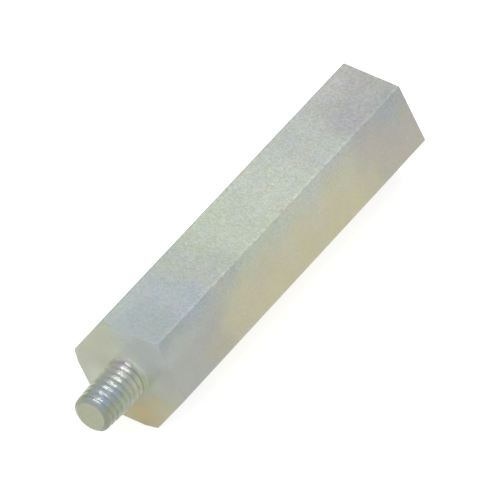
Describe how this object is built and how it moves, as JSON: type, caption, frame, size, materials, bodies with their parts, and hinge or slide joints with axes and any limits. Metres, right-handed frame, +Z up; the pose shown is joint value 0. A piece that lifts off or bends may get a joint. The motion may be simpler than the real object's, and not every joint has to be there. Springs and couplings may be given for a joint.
{
  "type": "hex standoff",
  "caption": "Long hexagonal steel standoff with a short threaded stud on one end and a tapped blind hole in the other, lying on one flat.",
  "frame": {"origin": "on the surface that the standoff lies on, under the middle of its overall length", "axes": "+X runs along the bar's axis from the stud's tip towards the tapped end, +Z is up, and the bar lies on one of its six flats"},
  "size_m": [0.046, 0.0114, 0.01],
  "materials": {
    "zinc_plated_steel": "satin zinc plating, faintly iridescent"
  },
  "bodies": {
    "root": {"hex_standoff": "zinc_plated_steel"}
  },
  "joints": []
}
